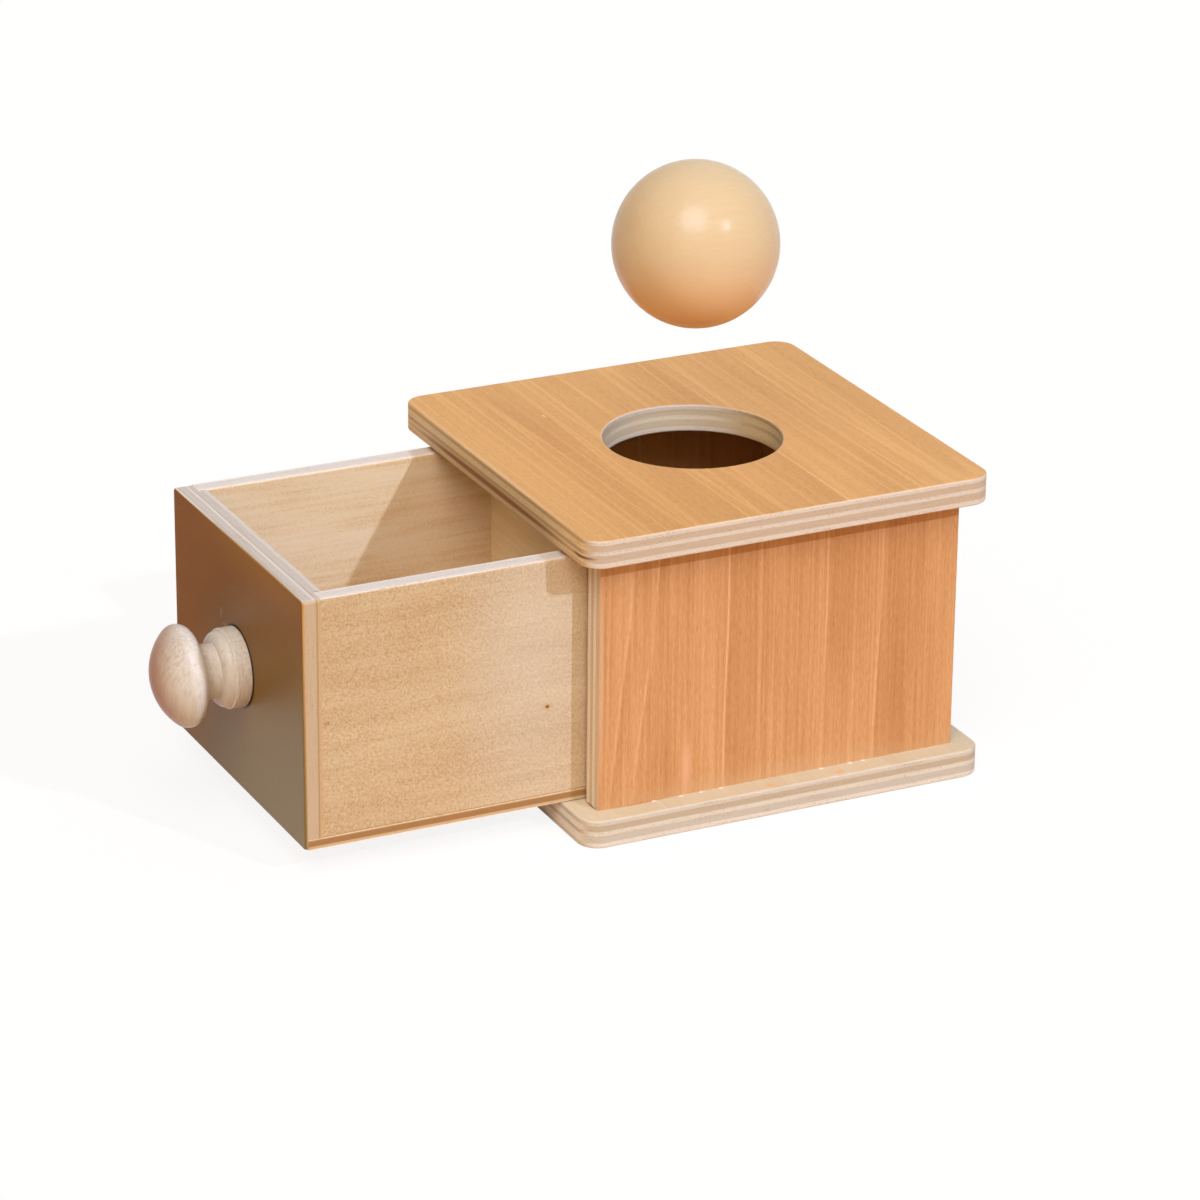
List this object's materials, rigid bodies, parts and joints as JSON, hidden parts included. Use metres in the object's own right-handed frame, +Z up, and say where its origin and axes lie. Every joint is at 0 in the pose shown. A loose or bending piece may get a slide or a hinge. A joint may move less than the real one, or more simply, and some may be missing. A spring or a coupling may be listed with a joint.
{
  "type": "object permanence box",
  "caption": "Plywood drop box for infants: a wooden ball falls through a round hole in the top into a sliding drawer that opens by a turned knob.",
  "frame": {"origin": "centre of the base panel's underside, on the plane that the box stands on", "axes": "+Z up, -Y towards the drawer's knob, +X to the right as seen from the knob"},
  "size_m": [0.11, 0.1995, 0.151],
  "materials": {
    "beech_plywood": "sanded beech-faced plywood with a satin lacquer",
    "birch_plywood": "sanded thin birch plywood, bare",
    "turned_beech": "turned beech, sanded and lacquered satin",
    "steel_wire": "bright drawn steel"
  },
  "bodies": {
    "case": {"top_panel": "beech_plywood", "base_panel": "beech_plywood", "left_side_panel": "beech_plywood", "right_side_panel": "beech_plywood", "back_panel": "beech_plywood", "top_dowels": "turned_beech", "base_dowels": "turned_beech"},
    "drawer": {"drawer_front": "beech_plywood", "drawer_left_side": "birch_plywood", "drawer_right_side": "birch_plywood", "drawer_back": "birch_plywood", "drawer_bottom": "birch_plywood", "drawer_pins": "steel_wire", "floor_pins": "steel_wire", "knob": "turned_beech", "knob_screw": "steel_wire"},
    "ball": {"ball": "turned_beech"}
  },
  "joints": [
    {"name": "drawer_slide", "type": "slide", "parent": "case", "child": "drawer", "axis": [0, -1, 0], "range_m": [-0.0745, 0.0125]},
    {"name": "ball_drop", "type": "slide", "parent": "case", "child": "ball", "axis": [0, 0, 1], "range_m": [-0.0991, 0]}
  ]
}
